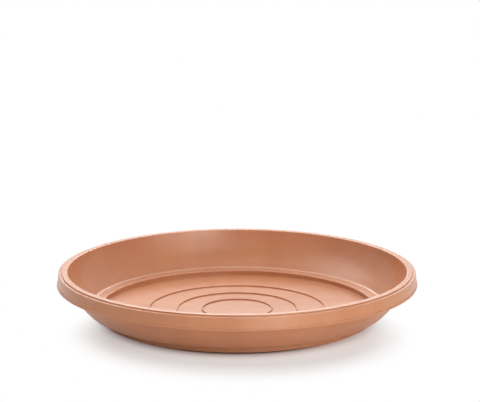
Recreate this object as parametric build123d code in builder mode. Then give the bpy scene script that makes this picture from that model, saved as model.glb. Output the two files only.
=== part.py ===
from build123d import *
import os

# Plant saucer, 36 cm size, injection moulded in one piece of terracotta-coloured plastic.
# Millimetres. +Z is up, and the origin is the centre of the saucer on the ground it stands on.
# The whole moulding is one wall of even thickness, turned about Z, with a foot ring and ribs on it.

# Wall
wall_thickness = 2.2

# Overall size, the diameter being taken across the lip at the foot of the rim band
rim_diameter = 360.0
height = 46.6

# Rim, from the lip in to the mouth
lip_depth = 0.5
lip_height = 1.6
band_height = 12.3  # from the foot of the band up to the shelf
band_lean = 1.3  # how far the band leans in over its height
shelf_width = 3.0
land_step = 1.4  # rise from the shelf to the land
land_width = 6.0  # flat top that runs round the mouth

# Side of the bowl: upright behind the band, then a wide bend, then a slope down to the ledge
upright_height = 19.3
upright_lean = 4.2  # how far the upright leans in over its height
bend_share = 0.78  # how much the bend takes up of the upright or the slope, whichever is shorter
slope_run = 17.6  # how far in the slope goes on its way down

# Base: a sunk floor inside a ledge, standing on a ring
ledge_width = 11.0
floor_depth = 5.1  # from the ledge down to the floor
foot_height = 1.4  # air under the floor, inside the foot ring

# Ribs on the floor, which keep the pot out of the water
rib_inner_radii = (34.2, 59.2, 88.2)
rib_width = 1.7
rib_height = 1.5
rib_side_angle = 82.0  # between a rib's side and the floor

# Trace of the gate, under the middle of the floor
gate_radius = 3.5
gate_height = 0.5

# Roundings of the visible side, and of the corners on its back
mouth_rounding = 1.0
land_rounding = 0.6
shelf_rounding = 0.7
shelf_corner_rounding = 0.4
lip_rounding = 0.25
band_foot_rounding = 0.3
slope_rounding = 7.0
ledge_rounding = 0.7
floor_rounding = 0.8
rib_rounding = 0.4
foot_rounding = 0.5
back_rounding = 0.5

# Places that follow from the sizes, as radii from the axis and heights above the ground
lip_radius = rim_diameter / 2
band_radius = lip_radius - lip_depth
shelf_radius = band_radius - band_lean
land_radius = shelf_radius - shelf_width
mouth_radius = land_radius - land_width
bend_corner_radius = mouth_radius - upright_lean
ledge_radius = bend_corner_radius - slope_run
floor_radius = ledge_radius - ledge_width
floor_top = foot_height + wall_thickness
ledge_top = floor_top + floor_depth
shelf_top = height - land_step
band_foot = shelf_top - band_height
band_slant = Vector(band_lean, band_height).length / band_height
upright = Vector(upright_lean, upright_height)
slope = Vector(slope_run, height - upright_height - ledge_top)
upright_way, slope_way = upright.normalized(), slope.normalized()
bend_reach = bend_share * min(upright.length, slope.length)
bend_radius = bend_reach * (upright_way + slope_way).length / (upright_way - slope_way).length

# Corners of the visible side, from the middle of the floor out to the foot of the band,
# as (radius, height), each with its rounding and that of the corner behind it
floor_middle = (0, floor_top)
corners = (
    ((floor_radius, floor_top), floor_rounding, None),
    ((floor_radius, ledge_top), ledge_rounding, back_rounding),
    ((ledge_radius, ledge_top), slope_rounding, slope_rounding + wall_thickness),
    ((bend_corner_radius, height - upright_height), bend_radius, bend_radius + wall_thickness),
    ((mouth_radius, height), mouth_rounding, back_rounding),
    ((land_radius, height), land_rounding, None),
    ((land_radius, shelf_top), shelf_corner_rounding, None),
    ((shelf_radius, shelf_top), shelf_rounding, back_rounding),
)
foot_of_band = (band_radius, band_foot)
visible_side = [floor_middle, *(corner for corner, _, _ in corners), foot_of_band]


def behind(before, corner, after):
    """The corner on the back of the wall, one wall thickness behind both lines that meet at a corner."""
    run_in = (Vector(corner) - Vector(before)).normalized()
    run_out = (Vector(after) - Vector(corner)).normalized()
    square_in = Vector(run_in.Y, -run_in.X)
    square_out = Vector(run_out.Y, -run_out.X)
    mitre = (square_in + square_out) / (1 + square_in.dot(square_out))
    back = Vector(corner) + mitre * wall_thickness
    return (back.X, back.Y)


hidden_side = [
    (0, foot_height),
    *(behind(*three) for three in zip(visible_side, visible_side[1:], visible_side[2:])),
    (band_radius - wall_thickness * band_slant, band_foot),
]


def round_corner(section, point, radius):
    """Round the corner of a section that lies nearest to a point."""
    fillet(section.vertices().sort_by_distance(point)[0], radius)


with BuildPart() as saucer:
    with BuildSketch(Plane.XZ) as section:
        # Wall
        with BuildLine():
            Polyline(*visible_side, *reversed(hidden_side), close=True)
        make_face()
        for (corner, visible_rounding, hidden_rounding), back in zip(corners, hidden_side[1:]):
            round_corner(section, corner, visible_rounding)
            if hidden_rounding:
                round_corner(section, back, hidden_rounding)
        round_corner(section, hidden_side[-1], back_rounding)

        # Foot ring, which carries the wall of the sunk floor down to the ground
        with Locations((floor_radius, 0)):
            Rectangle(wall_thickness, floor_top, align=Align.MIN)
        for side in (floor_radius, floor_radius + wall_thickness):
            round_corner(section, (side, 0), foot_rounding)

        # Lip round the foot of the band
        with Locations((lip_radius, band_foot)):
            Rectangle(wall_thickness, lip_height, align=(Align.MAX, Align.MIN))
        round_corner(section, (lip_radius, band_foot), band_foot_rounding)
        round_corner(section, (lip_radius, band_foot + lip_height), lip_rounding)

        # Ribs
        for inner_radius in rib_inner_radii:
            with Locations((inner_radius, floor_top)):
                Trapezoid(rib_width, rib_height, rib_side_angle, align=Align.MIN)
            for side in (inner_radius, inner_radius + rib_width):
                round_corner(section, (side, floor_top + rib_height), rib_rounding)

        # Gate
        with Locations((0, foot_height)):
            Rectangle(gate_radius, gate_height, align=(Align.MIN, Align.MAX))
    revolve(axis=Axis.Z)

saucer.part.label = "saucer"
os.makedirs("parts", exist_ok=True)
export_step(saucer.part, "parts/saucer.step")
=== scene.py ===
"""A plant saucer of terracotta-coloured plastic, dressed round its solid and set in a plain studio."""
import logging
import math
from dataclasses import dataclass, field
from enum import Enum
from typing import Any, Iterator

import bpy
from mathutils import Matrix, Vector


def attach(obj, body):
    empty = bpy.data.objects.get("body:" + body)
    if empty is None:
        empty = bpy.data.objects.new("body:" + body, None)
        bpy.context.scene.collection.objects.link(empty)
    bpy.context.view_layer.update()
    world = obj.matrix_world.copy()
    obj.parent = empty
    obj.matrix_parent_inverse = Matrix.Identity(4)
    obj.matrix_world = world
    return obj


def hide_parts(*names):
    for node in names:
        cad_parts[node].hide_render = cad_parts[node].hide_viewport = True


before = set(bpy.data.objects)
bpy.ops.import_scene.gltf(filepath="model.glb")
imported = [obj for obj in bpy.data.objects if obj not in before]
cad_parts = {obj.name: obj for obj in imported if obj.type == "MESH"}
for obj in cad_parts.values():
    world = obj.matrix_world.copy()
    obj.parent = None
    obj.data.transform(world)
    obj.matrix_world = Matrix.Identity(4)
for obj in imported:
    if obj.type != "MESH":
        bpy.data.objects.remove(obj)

LOG = logging.getLogger("plant_saucer")

# Red, green and blue, each from 0 to 1
Colour = tuple[float, float, float]
# A low and a high value, between which something sets in
Span = tuple[float, float]
# A point in metres, along X, Y and Z
Place = tuple[float, float, float]

# The value that a noise from 0 to 1 swings about
NOISE_MIDDLE = 0.5


class Side(Enum):
    """Which side of the moulding a stretch of its section lies on."""

    INSIDE = 0.0
    UNDERSIDE = 1.0


class Trace(Enum):
    """Names of the values that the mesh carries for the finish."""

    EDGE = "edge_share"
    UNDERSIDE = "underside_share"


@dataclass(frozen=True)
class Corner:
    """A corner of the section, with the radius that rounds it."""

    radius: float
    height: float
    rounding: float = 0.0
    side: Side = Side.INSIDE

    @property
    def place(self) -> Vector:
        """The corner as a point of the section."""
        return Vector((self.radius, self.height))


@dataclass(frozen=True)
class SkinPoint:
    """A point on the skin of the section, with what the mesh has to know of it."""

    place: Vector
    normal: Vector
    edge: float
    underside: float


@dataclass(frozen=True)
class SaucerSection:
    """The saucer's wall in section, in metres: radii from the axis and heights above the ground."""

    wall: float = 0.0022
    rim_diameter: float = 0.360
    height: float = 0.0466

    # Rim, from the lip in to the mouth
    lip_depth: float = 0.0005
    lip_height: float = 0.0016
    band_height: float = 0.0123
    band_lean: float = 0.0013
    shelf_width: float = 0.0030
    land_step: float = 0.0014
    land_width: float = 0.0060

    # Side of the bowl, from the mouth down to the ledge
    upright_height: float = 0.0193
    upright_lean: float = 0.0042
    bend_share: float = 0.78
    slope_run: float = 0.0176

    # Base, with the ribs that carry the pot and the trace of the gate under it
    ledge_width: float = 0.0110
    floor_depth: float = 0.0051
    foot_height: float = 0.0014
    rib_inner_radii: tuple[float, ...] = (0.0342, 0.0592, 0.0882)
    rib_width: float = 0.0017
    rib_height: float = 0.0015
    rib_side_angle: float = math.radians(82.0)
    gate_radius: float = 0.0035
    gate_height: float = 0.0005

    # Roundings
    mouth_rounding: float = 0.0010
    land_rounding: float = 0.0006
    shelf_rounding: float = 0.0007
    shelf_corner_rounding: float = 0.0004
    lip_rounding: float = 0.00025
    band_foot_rounding: float = 0.0003
    slope_rounding: float = 0.0070
    ledge_rounding: float = 0.0007
    floor_rounding: float = 0.0008
    rib_rounding: float = 0.0004
    foot_rounding: float = 0.0005
    back_rounding: float = 0.0005
    crease_rounding: float = 0.0002

    # How finely round stretches and long straight ones are divided
    turn_step: float = math.radians(13.0)
    fewest_steps: int = 3
    longest_run: float = 0.012

    # The largest rounding that is still an edge, which hands and pots rub
    worn_radius: float = 0.0012

    @property
    def lip_radius(self) -> float:
        """Radius of the lip, which is the widest place."""
        return self.rim_diameter / 2

    @property
    def shelf_radius(self) -> float:
        """Radius of the shelf's outer edge."""
        return self.lip_radius - self.lip_depth - self.band_lean

    @property
    def land_radius(self) -> float:
        """Radius of the land's outer edge."""
        return self.shelf_radius - self.shelf_width

    @property
    def mouth_radius(self) -> float:
        """Radius of the mouth."""
        return self.land_radius - self.land_width

    @property
    def ledge_radius(self) -> float:
        """Radius of the corner between the ledge and the slope."""
        return self.mouth_radius - self.upright_lean - self.slope_run

    @property
    def floor_radius(self) -> float:
        """Radius of the sunk floor."""
        return self.ledge_radius - self.ledge_width

    @property
    def floor_top(self) -> float:
        """Height of the floor that the water lies on."""
        return self.foot_height + self.wall

    @property
    def ledge_top(self) -> float:
        """Height of the ledge round the sunk floor."""
        return self.floor_top + self.floor_depth

    @property
    def bend_radius(self) -> float:
        """Radius of the bend, which takes up its share of the shorter of the upright and the slope.

        Returns:
            The radius of the visible side.
        """
        upright = Vector((self.upright_lean, self.upright_height))
        slope = Vector((self.slope_run, self.height - self.upright_height - self.ledge_top))
        reach = self.bend_share * min(upright.length, slope.length)
        return reach / math.tan(upright.angle(slope) / 2)

    def visible_corners(self) -> list[Corner]:
        """Corners of the visible side, without the ribs and the lip.

        Returns:
            The corners, from the edge of the sunk floor out to the foot of the band.
        """
        shelf_top = self.height - self.land_step
        bend = Corner(
            self.mouth_radius - self.upright_lean,
            self.height - self.upright_height,
            self.bend_radius,
        )
        return [
            Corner(self.floor_radius, self.floor_top, self.floor_rounding),
            Corner(self.floor_radius, self.ledge_top, self.ledge_rounding),
            Corner(self.ledge_radius, self.ledge_top, self.slope_rounding),
            bend,
            Corner(self.mouth_radius, self.height, self.mouth_rounding),
            Corner(self.land_radius, self.height, self.land_rounding),
            Corner(self.land_radius, shelf_top, self.shelf_corner_rounding),
            Corner(self.shelf_radius, shelf_top, self.shelf_rounding),
            Corner(self.lip_radius - self.lip_depth, shelf_top - self.band_height),
        ]

    def rib(self, inner_radius: float) -> list[Corner]:
        """Corners of one rib on the floor.

        Args:
            inner_radius: Radius of the rib's inner side at the floor.

        Returns:
            The rib's four corners, from the inside out.
        """
        draft = self.rib_height / math.tan(self.rib_side_angle)
        outer_radius = inner_radius + self.rib_width
        top = self.floor_top + self.rib_height
        return [
            Corner(inner_radius, self.floor_top, self.crease_rounding),
            Corner(inner_radius + draft, top, self.rib_rounding),
            Corner(outer_radius - draft, top, self.rib_rounding),
            Corner(outer_radius, self.floor_top, self.crease_rounding),
        ]

    def behind(self, before: Corner, corner: Corner, after: Corner, rounding: float) -> Corner:
        """The corner on the back of the wall, one wall behind both lines that meet at a corner.

        Args:
            before: The corner before it on the visible side.
            corner: The corner of the visible side.
            after: The corner after it.
            rounding: Radius that rounds the corner on the back.

        Returns:
            The corner on the back.
        """
        run_in = (corner.place - before.place).normalized()
        run_out = (after.place - corner.place).normalized()
        square_in = Vector((run_in.y, -run_in.x))
        square_out = Vector((run_out.y, -run_out.x))
        mitre = (square_in + square_out) / (1 + square_in.dot(square_out))
        back = corner.place + mitre * self.wall
        return Corner(back.x, back.y, rounding, Side.UNDERSIDE)

    def hidden_corners(self, visible: list[Corner]) -> list[Corner]:
        """Corners of the back of the wall, from the rim down to the foot ring.

        Args:
            visible: Corners of the visible side.

        Returns:
            The corners, from the inside of the band's foot to the ledge's back.
        """
        back = self.back_rounding
        # One for each visible corner from the edge of the sunk floor out to the shelf
        roundings = [
            back,
            self.slope_rounding + self.wall,
            self.bend_radius + self.wall,
            back,
            self.crease_rounding,
            self.crease_rounding,
            back,
        ]
        found = [
            self.behind(before, corner, after, rounding)
            for before, corner, after, rounding in zip(visible, visible[1:], visible[2:], roundings)
        ]
        shelf, foot = visible[-2], visible[-1]
        run = foot.place - shelf.place
        slant = run.length / -run.y
        inner_foot = Corner(foot.radius - self.wall * slant, foot.height, back, Side.UNDERSIDE)
        return [inner_foot, *reversed(found)]

    def corners(self) -> list[Corner]:
        """All corners of the section.

        Returns:
            The corners, from the middle of the floor over the rim and back under the floor.
        """
        visible = self.visible_corners()
        band_foot = visible[-1]
        lip_top = band_foot.height + self.lip_height
        shelf_edge = visible[-2]
        fall = (shelf_edge.height - lip_top) / (shelf_edge.height - band_foot.height)
        band_at_lip = shelf_edge.radius + (band_foot.radius - shelf_edge.radius) * fall
        under, foot, crease = Side.UNDERSIDE, self.foot_rounding, self.crease_rounding
        gate_foot = self.foot_height - self.gate_height
        hidden = self.hidden_corners(visible)
        ring_outside = hidden[-1].radius
        ring_inside = ring_outside - self.wall
        return [
            Corner(0, self.floor_top),
            *(corner for inner in self.rib_inner_radii for corner in self.rib(inner)),
            *visible[:-1],
            Corner(band_at_lip, lip_top, crease),
            Corner(self.lip_radius, lip_top, self.lip_rounding),
            Corner(self.lip_radius, band_foot.height, self.band_foot_rounding),
            *hidden,
            Corner(ring_outside, 0, foot, under),
            Corner(ring_inside, 0, foot, under),
            Corner(ring_inside, self.foot_height, crease, under),
            Corner(self.gate_radius, self.foot_height, crease, under),
            Corner(self.gate_radius, gate_foot, crease, under),
            Corner(0, gate_foot, 0, under),
        ]

    def skin(self) -> list[SkinPoint]:
        """Points along the whole section, with round stretches as arcs and long runs divided.

        Returns:
            The points, from the middle of the floor over the rim and back under the floor.
        """
        corners = self.corners()
        points = [SkinPoint(corners[0].place, Vector((0, 1)), 0.0, corners[0].side.value)]
        for before, corner, after in zip(corners, corners[1:], corners[2:]):
            arc = list(self.arc(before, corner, after))
            points += [*self.run(points[-1], arc[0]), *arc]
        last = SkinPoint(corners[-1].place, Vector((0, -1)), 0.0, corners[-1].side.value)
        return [*points, *self.run(points[-1], last), last]

    def arc(self, before: Corner, corner: Corner, after: Corner) -> Iterator[SkinPoint]:
        """The round stretch at one corner.

        Args:
            before: The corner before it.
            corner: The corner that is rounded.
            after: The corner after it.

        Yields:
            Points from one end of the arc to the other.
        """
        run_in = (corner.place - before.place).normalized()
        run_out = (after.place - corner.place).normalized()
        turn = math.atan2(run_in.x * run_out.y - run_in.y * run_out.x, run_in.dot(run_out))
        reach = corner.rounding * math.tan(abs(turn) / 2)
        start_normal = Vector((-run_in.y, run_in.x))
        bulge = math.copysign(corner.rounding, -turn)
        centre = corner.place - run_in * reach - start_normal * bulge
        steps = max(self.fewest_steps, math.ceil(abs(turn) / self.turn_step))
        worn = turn < 0 and corner.rounding <= self.worn_radius
        for step in range(steps + 1):
            angle = turn * step / steps
            normal = Vector((
                start_normal.x * math.cos(angle) - start_normal.y * math.sin(angle),
                start_normal.x * math.sin(angle) + start_normal.y * math.cos(angle),
            ))
            edge = math.sin(math.pi * step / steps) if worn else 0.0
            yield SkinPoint(centre + normal * bulge, normal, edge, corner.side.value)

    def run(self, start: SkinPoint, end: SkinPoint) -> Iterator[SkinPoint]:
        """The points that divide a straight run.

        Args:
            start: Where the run starts.
            end: Where it ends.

        Yields:
            The points between the two ends.
        """
        pieces = math.ceil((end.place - start.place).length / self.longest_run)
        for piece in range(1, pieces):
            place = start.place.lerp(end.place, piece / pieces)
            yield SkinPoint(place, end.normal, 0.0, end.underside)


class Value:
    """One output socket of a shader node, which takes part in arithmetic."""

    def __init__(self, recipe: "Recipe", socket: bpy.types.NodeSocket | None) -> None:
        """Keeps the socket, which an output node lacks, and the recipe that it belongs to."""
        self.recipe = recipe
        self.socket = socket

    def beside(self, *names: str) -> list["Value"]:
        """Outputs of the same node, by their names."""
        return [Value(self.recipe, self.socket.node.outputs[name]) for name in names]

    def maths(self, operation: str, *terms: "Value | float") -> "Value":
        """The result of a Math node on these terms."""
        return self.recipe.add("ShaderNodeMath", {"operation": operation}, dict(enumerate(terms)))

    def __add__(self, other: "Value | float") -> "Value":
        """This value plus another."""
        return self.maths("ADD", self, other)

    def __radd__(self, other: float) -> "Value":
        """A number plus this value."""
        return self.maths("ADD", other, self)

    def __sub__(self, other: "Value | float") -> "Value":
        """This value less another."""
        return self.maths("SUBTRACT", self, other)

    def __rsub__(self, other: float) -> "Value":
        """A number less this value."""
        return self.maths("SUBTRACT", other, self)

    def __mul__(self, other: "Value | float") -> "Value":
        """This value times another."""
        return self.maths("MULTIPLY", self, other)

    def __rmul__(self, other: float) -> "Value":
        """A number times this value."""
        return self.maths("MULTIPLY", other, self)

    def __truediv__(self, other: "Value | float") -> "Value":
        """This value divided by another."""
        return self.maths("DIVIDE", self, other)

    def __rtruediv__(self, other: float) -> "Value":
        """A number divided by this value."""
        return self.maths("DIVIDE", other, self)

    def between(self, low: float, high: float) -> "Value":
        """A smooth step.

        Args:
            low: The value up to which it is 0.
            high: The value from which it is 1.

        Returns:
            The step.
        """
        settings = {"interpolation_type": "SMOOTHSTEP"}
        inputs = {"Value": self, "From Min": low, "From Max": high}
        return self.recipe.add("ShaderNodeMapRange", settings, inputs)


class Recipe:
    """The nodes of one material or of the world."""

    def __init__(self, tree: bpy.types.NodeTree) -> None:
        """Takes an empty node tree."""
        self.tree = tree
        tree.nodes.clear()

    def add(
        self,
        kind: str,
        settings: dict[str, Any] | None = None,
        inputs: dict[str | int, Any] | None = None,
        output: str | int = 0,
    ) -> Value:
        """Adds a node.

        Args:
            kind: The node's type.
            settings: Its settings, which are made first.
            inputs: Numbers, colours or values for its sockets, by name or place.
            output: Name or place of the socket that is returned.

        Returns:
            The chosen output of the node.
        """
        node = self.tree.nodes.new(kind)
        for name, setting in (settings or {}).items():
            setattr(node, name, setting)
        for key, given in (inputs or {}).items():
            if isinstance(given, Value):
                self.tree.links.new(given.socket, node.inputs[key])
            else:
                node.inputs[key].default_value = given
        return Value(self, node.outputs[output] if node.outputs else None)

    def blend(self, share: Value, first: Any, second: Any) -> Value:
        """Mixes two colours.

        Args:
            share: 0 for the first colour, 1 for the second.
            first: The first colour, as a value or as numbers.
            second: The second colour.

        Returns:
            The mixed colour.
        """
        factor, colour_a, colour_b, colour_out = 0, 6, 7, 2
        inputs = {factor: share, colour_a: first, colour_b: second}
        return self.add("ShaderNodeMix", {"data_type": "RGBA"}, inputs, colour_out)

    def place(self) -> Value:
        """Where a point of the surface lies on its piece."""
        return self.add("ShaderNodeTexCoord", None, None, "Object")

    def trace(self, kind: Trace) -> Value:
        """A value that the mesh carries."""
        return self.add("ShaderNodeAttribute", {"attribute_name": kind.value}, None, "Fac")

    def reach(self, place: Value, centre: Place = (0.0, 0.0, 0.0)) -> Value:
        """How far a place lies from a centre."""
        inputs = {0: place, 1: centre}
        return self.add("ShaderNodeVectorMath", {"operation": "DISTANCE"}, inputs, "Value")

    def noise(self, place: Value, layers: float, size: float = 1.0) -> Value:
        """Even noise from 0 to 1.

        Args:
            place: Where on the piece.
            layers: How many finer layers it has.
            size: Rough size of its patches, in the unit of the place.

        Returns:
            The noise.
        """
        inputs = {"Vector": place, "Scale": 1 / size, "Detail": layers}
        return self.add("ShaderNodeTexNoise", None, inputs, "Fac")


def opaque(colour: Colour) -> tuple[float, float, float, float]:
    """A colour with full cover, as a socket takes it."""
    return (*colour, 1.0)


@dataclass(frozen=True)
class MouldedPlastic:
    """Satin polypropylene as it leaves the mould, with slight flow marks and rubbed edges."""

    name: str = "terracotta_polypropylene"
    slot: str = "terracotta_plastic"
    refraction: float = 1.49

    # The plastic lies between two near shades, by clouds, flecks and flow marks together
    deep_colour: Colour = (0.465, 0.178, 0.078)
    light_colour: Colour = (0.540, 0.226, 0.107)
    shade_between: Span = (0.3, 0.7)
    cloud_size: float = 0.060
    cloud_layers: float = 3.0
    cloud_share: float = 0.5
    fleck_size: float = 0.0016
    fleck_layers: float = 2.0
    fleck_share: float = 0.2

    # Flow marks, which run together in a small core round the gate
    streak_share: float = 0.3
    streak_length: float = 0.147
    streak_core: float = 0.0016
    streak_layers: float = 3.0
    streaks_round: float = 9.0

    # Patches in which the edges are rubbed pale
    rubbed_colour: Colour = (0.640, 0.330, 0.210)
    rubbed_share: float = 0.35
    rubbed_size: float = 0.022
    rubbed_layers: float = 4.0
    rubbed_between: Span = (0.35, 0.65)

    # Gloss, which is duller on the underside and brighter where it is rubbed
    roughness: float = 0.30
    roughness_swing: float = 0.07
    underside_roughness: float = 0.14
    rubbed_polish: float = 0.08

    # Relief: the grain of the mould and the slow ripple of shrinkage
    grain_size: float = 0.00045
    grain_layers: float = 2.0
    grain_depth: float = 0.000002
    ripple_size: float = 0.028
    ripple_layers: float = 1.0
    ripple_depth: float = 0.00012

    def streaks(self, recipe: Recipe, place: Value) -> Value:
        """Flow marks that run out from the gate in the middle of the floor.

        Args:
            recipe: The recipe to add to.
            place: Where on the piece.

        Returns:
            The marks, from 0 to 1.
        """
        across, along, up = recipe.add("ShaderNodeSeparateXYZ", None, {0: place}).beside("X", "Y", "Z")
        reach = across.maths("SQRT", across * across + along * along)
        turned = recipe.add("ShaderNodeCombineXYZ", None, {
            "X": across / (reach + self.streak_core) * self.streaks_round,
            "Y": along / (reach + self.streak_core) * self.streaks_round,
            "Z": (reach + up) / self.streak_length,
        })
        return recipe.noise(turned, self.streak_layers)

    def material(self) -> bpy.types.Material:
        """Makes the material.

        Returns:
            The material, for a piece that carries the traces.
        """
        made = bpy.data.materials.new(self.name)
        made.use_nodes = True
        recipe = Recipe(made.node_tree)
        place = recipe.place()
        edge = recipe.trace(Trace.EDGE)
        under = recipe.trace(Trace.UNDERSIDE)
        clouds = recipe.noise(place, self.cloud_layers, self.cloud_size) * self.cloud_share
        flecks = recipe.noise(place, self.fleck_layers, self.fleck_size) * self.fleck_share
        streaks = self.streaks(recipe, place)
        shade = (clouds + flecks + streaks * self.streak_share).between(*self.shade_between)
        patches = recipe.noise(place, self.rubbed_layers, self.rubbed_size).between(*self.rubbed_between)
        rubbed = edge * patches * self.rubbed_share
        body = recipe.blend(shade, opaque(self.deep_colour), opaque(self.light_colour))
        colour = recipe.blend(rubbed, body, opaque(self.rubbed_colour))
        roughness = (
            self.roughness
            + (streaks - NOISE_MIDDLE) * self.roughness_swing
            + under * self.underside_roughness
            - rubbed * self.rubbed_polish
        )
        grain = recipe.noise(place, self.grain_layers, self.grain_size)
        ripple = recipe.noise(place, self.ripple_layers, self.ripple_size)
        height = grain * self.grain_depth * (1 + under) + ripple * self.ripple_depth
        # At a distance of 1 the height is in metres
        bump = recipe.add("ShaderNodeBump", None, {"Distance": 1.0, "Height": height})
        plastic = recipe.add("ShaderNodeBsdfPrincipled", None, {
            "Base Color": colour,
            "Roughness": roughness,
            "IOR": self.refraction,
            "Normal": bump,
        })
        recipe.add("ShaderNodeOutputMaterial", None, {"Surface": plastic})
        return made


@dataclass
class SaucerMoulding:
    """The saucer itself, one moulding turned about Z."""

    node: str = "saucer"
    name: str = "saucer_moulding"
    section: SaucerSection = field(default_factory=SaucerSection)
    finish: MouldedPlastic = field(default_factory=MouldedPlastic)
    segments: int = 288

    def mesh(self) -> bpy.types.Mesh:
        """Turns the section about Z.

        Returns:
            A closed mesh with exact normals, which carries the traces.
        """
        skin = self.section.skin()
        around = [math.tau * step / self.segments for step in range(self.segments)]
        turns = [(math.cos(angle), math.sin(angle)) for angle in around]
        rings = [[(0.0, 0.0)] if point.place.x == 0 else turns for point in skin]
        starts = [0]
        for ring in rings:
            starts.append(starts[-1] + len(ring))
        vertices = [
            (point.place.x * east, point.place.x * north, point.place.y)
            for point, ring in zip(skin, rings)
            for east, north in ring
        ]
        normals = [
            (point.normal.x * east, point.normal.x * north, point.normal.y)
            for point, ring in zip(skin, rings)
            for east, north in ring
        ]
        made = bpy.data.meshes.new(self.name)
        made.from_pydata(vertices, [], list(self.faces(starts)))
        for trace, shares in (
            (Trace.EDGE, [point.edge for point in skin]),
            (Trace.UNDERSIDE, [point.underside for point in skin]),
        ):
            values = [share for share, ring in zip(shares, rings) for _ in ring]
            made.attributes.new(trace.value, "FLOAT", "POINT").data.foreach_set("value", values)
        made.shade_smooth()
        made.normals_split_custom_set_from_vertices(normals)
        made.validate()
        return made

    def faces(self, starts: list[int]) -> Iterator[tuple[int, ...]]:
        """The faces between each ring of the mesh and the next.

        Args:
            starts: Number of each ring's first vertex, and of the one after the last.

        Yields:
            Vertex numbers of each face, anticlockwise seen from outside.
        """
        for near, far, end in zip(starts, starts[1:], starts[2:]):
            for step in range(self.segments):
                after = (step + 1) % self.segments
                if far - near == 1:
                    yield near, far + step, far + after
                elif end - far == 1:
                    yield near + step, far, near + after
                else:
                    yield near + step, far + step, far + after, near + after

    def build(self) -> bpy.types.Object:
        """Makes the moulding and puts it in the place of its solid.

        Returns:
            The moulding.
        """
        piece = bpy.data.objects.new(self.name, self.mesh())
        piece.data.materials.append(self.finish.material())
        bpy.context.scene.collection.objects.link(piece)
        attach(piece, "root")
        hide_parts(self.node)
        return piece


@dataclass(frozen=True)
class Softbox:
    """A studio lamp with a flat soft face, which points at the saucer.

    The azimuth goes round from the camera to the right and the elevation up from the floor, both in
    degrees. At a level of 1, one lamp would show a matt face turned to it in about its full colour.
    """

    name: str
    azimuth: float
    elevation: float
    level: float
    width: float = 0.8
    height: float = 0.8
    distance: float = 1.6

    def build(self, target: Vector) -> bpy.types.Object:
        """Makes the lamp.

        Args:
            target: The point that it faces.

        Returns:
            The lamp.
        """
        turn, rise = math.radians(self.azimuth), math.radians(self.elevation)
        out = math.cos(rise)
        way = Vector((math.sin(turn) * out, -math.cos(turn) * out, math.sin(rise)))
        light = bpy.data.lights.new(self.name, "AREA")
        light.shape = "RECTANGLE"
        light.size = self.width
        light.size_y = self.height
        # Watts that give the level at the lamp's distance
        light.energy = self.level * (math.pi * self.distance) ** 2
        lamp = bpy.data.objects.new(self.name, light)
        lamp.visible_camera = False
        lamp.location = target + way * self.distance
        lamp.rotation_euler = way.to_track_quat("Z", "Y").to_euler()
        bpy.context.scene.collection.objects.link(lamp)
        return lamp


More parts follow.
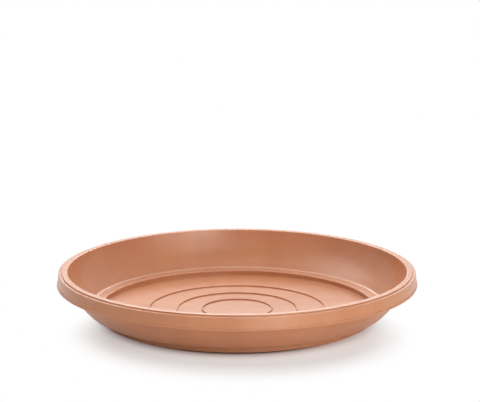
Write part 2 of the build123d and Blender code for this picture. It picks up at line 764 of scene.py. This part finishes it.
@dataclass(frozen=True)
class Studio:
    """A white room with a pale floor and soft lamps."""

    white: Colour = (1.0, 1.0, 1.0)

    # Strength of the world where it lights the saucer
    ambient: float = 0.25

    # The floor, which lies just under the foot ring and fades away at a distance
    floor_colour: Colour = (0.97, 0.97, 0.97)
    floor_radius: float = 3.0
    floor_segments: int = 96
    floor_drop: float = 0.00005
    clear_between: Span = (0.6, 1.2)

    # Painted shadow: how much of its own white the floor keeps in a shadow painted round the saucer, and
    # between which distances from a centre in front of the saucer's that share rises to the whole
    floor_glow: float = 0.42
    painted_shadow_middle: Place = (0.0, -0.080, 0.0)
    painted_shadow_span: Span = (0.117, 0.173)

    # Painted contact shadow: a dark line painted into the floor where the foot ring nearly touches it,
    # and between which distances the white and the floor's colour come back
    painted_contact_centre: Place = (0.0, -0.0186, 0.0)
    glow_painted_contact_span: Span = (0.120, 0.143)
    painted_contact_line_colour: Colour = (0.12, 0.10, 0.09)
    painted_contact_line_span: Span = (0.120, 0.128)

    lamps: tuple[Softbox, ...] = (
        Softbox("key", azimuth=30.0, elevation=36.0, level=0.20, width=1.3, height=0.9),
        Softbox("key_tall", azimuth=26.0, elevation=24.0, level=0.11, width=0.8, height=1.1),
        Softbox("key_low", azimuth=20.0, elevation=6.0, level=0.11, width=0.5, height=0.35),
        Softbox("strip_right", azimuth=38.0, elevation=10.0, level=0.24, width=1.4, height=0.4),
        Softbox("softbox_back", azimuth=180.0, elevation=50.0, level=0.28, width=1.0),
        Softbox("softbox_back_middle", azimuth=180.0, elevation=37.0, level=0.09, width=0.8, height=0.3),
        Softbox("softbox_back_low", azimuth=180.0, elevation=30.0, level=0.22, width=0.8, height=0.25),
        Softbox("softbox_back_left", azimuth=215.0, elevation=45.0, level=0.19, width=1.0),
        Softbox("softbox_left", azimuth=255.0, elevation=45.0, level=0.21, width=1.0),
        Softbox("softbox_overhead", azimuth=180.0, elevation=80.0, level=0.24, width=1.0, height=1.0),
    )

    def shown(self, recipe: Recipe) -> Value:
        """1 where a surface is seen, straight, reflected or through glass, and 0 where it lights others.

        Args:
            recipe: The recipe to add to.

        Returns:
            The value, 0 or 1.
        """
        rays = recipe.add("ShaderNodeLightPath")
        straight, glossy, through = rays.beside("Is Camera Ray", "Is Glossy Ray", "Is Transmission Ray")
        seen = straight.maths("MAXIMUM", straight, glossy)
        return seen.maths("MAXIMUM", seen, through)

    def world(self) -> None:
        """Makes the world white to the camera and in reflections, and a soft even light elsewhere."""
        world = bpy.data.worlds.new("studio_room")
        world.use_nodes = True
        recipe = Recipe(world.node_tree)
        strength = self.ambient + self.shown(recipe) * (1 - self.ambient)
        inputs = {"Color": opaque(self.white), "Strength": strength}
        light = recipe.add("ShaderNodeBackground", None, inputs)
        recipe.add("ShaderNodeOutputWorld", None, {"Surface": light})
        bpy.context.scene.world = world

    def floor_material(self) -> bpy.types.Material:
        """A matt floor that shows paler than it is, with a shadow and a dark contact line painted round
        the saucer, and fades into the white room.

        Returns:
            The material.
        """
        made = bpy.data.materials.new("pale_floor")
        made.use_nodes = True
        recipe = Recipe(made.node_tree)
        place = recipe.place()
        contact = recipe.reach(place, self.painted_contact_centre)
        # Painted contact shadow: the floor's colour turns near black in a thin line round the foot ring
        painted_contact_line = contact.between(*self.painted_contact_line_span)
        colour = recipe.blend(painted_contact_line, opaque(self.painted_contact_line_colour), opaque(self.floor_colour))
        matt = recipe.add("ShaderNodeBsdfDiffuse", None, {"Color": colour})
        glow = recipe.add("ShaderNodeEmission", None, {"Color": opaque(self.white)})
        # Painted shadow: the glow is held back near an off-centre point in front of the saucer
        outside_painted_shadow = recipe.reach(place, self.painted_shadow_middle).between(*self.painted_shadow_span)
        open_glow = self.floor_glow + outside_painted_shadow * (1 - self.floor_glow)
        # Painted contact shadow: no glow at all right next to the foot ring
        glow_share = contact.between(*self.glow_painted_contact_span) * open_glow
        shown = self.shown(recipe) * glow_share
        table = recipe.add("ShaderNodeMixShader", None, {0: shown, 1: matt, 2: glow})
        clear = recipe.add("ShaderNodeBsdfTransparent")
        away = recipe.reach(place).between(*self.clear_between)
        surface = recipe.add("ShaderNodeMixShader", None, {0: away, 1: table, 2: clear})
        recipe.add("ShaderNodeOutputMaterial", None, {"Surface": surface})
        return made

    def floor(self) -> bpy.types.Object:
        """Makes the floor, a disc just under the foot ring.

        Returns:
            The floor.
        """
        turns = [math.tau * step / self.floor_segments for step in range(self.floor_segments)]
        vertices = [
            (math.cos(turn) * self.floor_radius, math.sin(turn) * self.floor_radius, 0)
            for turn in turns
        ]
        mesh = bpy.data.meshes.new("floor")
        mesh.from_pydata(vertices, [], [tuple(range(self.floor_segments))])
        mesh.materials.append(self.floor_material())
        floor = bpy.data.objects.new("floor", mesh)
        floor.location.z = -self.floor_drop
        bpy.context.scene.collection.objects.link(floor)
        return floor

    def build(self, target: Vector) -> None:
        """Makes the room and its lamps.

        Args:
            target: The point that the lamps face.
        """
        self.world()
        floor = self.floor()
        LOG.info("%s: %d corners", floor.name, len(floor.data.vertices))
        for softbox in self.lamps:
            lamp = softbox.build(target)
            LOG.info("%s: %.2f W", lamp.name, lamp.data.energy)
        bpy.context.scene.view_settings.view_transform = "Standard"


@dataclass(frozen=True)
class PhotoCamera:
    """The camera of the photograph, fitted to the circles of the rim, the ledge and the ribs."""

    name: str = "photo_camera"
    distance: float = 1.691
    elevation: float = math.radians(15.107)
    pitch: float = math.radians(11.936)
    yaw: float = math.radians(0.102)
    aim_height: float = 0.0191
    lens: float = 125.9
    sensor_width: float = 36.0

    def build(self) -> bpy.types.Object:
        """Makes the camera and sets it as the scene's.

        Returns:
            The camera.
        """
        data = bpy.data.cameras.new(self.name)
        data.lens = self.lens
        data.sensor_width = self.sensor_width
        data.sensor_fit = "HORIZONTAL"
        camera = bpy.data.objects.new(self.name, data)
        camera.location = (
            0,
            -self.distance * math.cos(self.elevation),
            self.distance * math.sin(self.elevation) + self.aim_height,
        )
        camera.rotation_euler = (math.pi / 2 - self.pitch, 0, -self.yaw)
        bpy.context.scene.collection.objects.link(camera)
        bpy.context.scene.camera = camera
        return camera


def main() -> None:
    """Builds the saucer, the studio and the camera, and logs the lens, the faces and the lamps."""
    logging.basicConfig(level=logging.INFO, format="%(name)s: %(message)s")
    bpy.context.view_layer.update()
    camera = PhotoCamera().build()
    LOG.info("%s: lens %.1f mm", camera.name, camera.data.lens)
    saucer = SaucerMoulding().build()
    LOG.info("%s: %d faces", saucer.name, len(saucer.data.polygons))
    target = Vector((0, 0, saucer.dimensions.z / 2))
    Studio().build(target)
    bpy.context.view_layer.update()


if __name__ == "__main__":
    main()
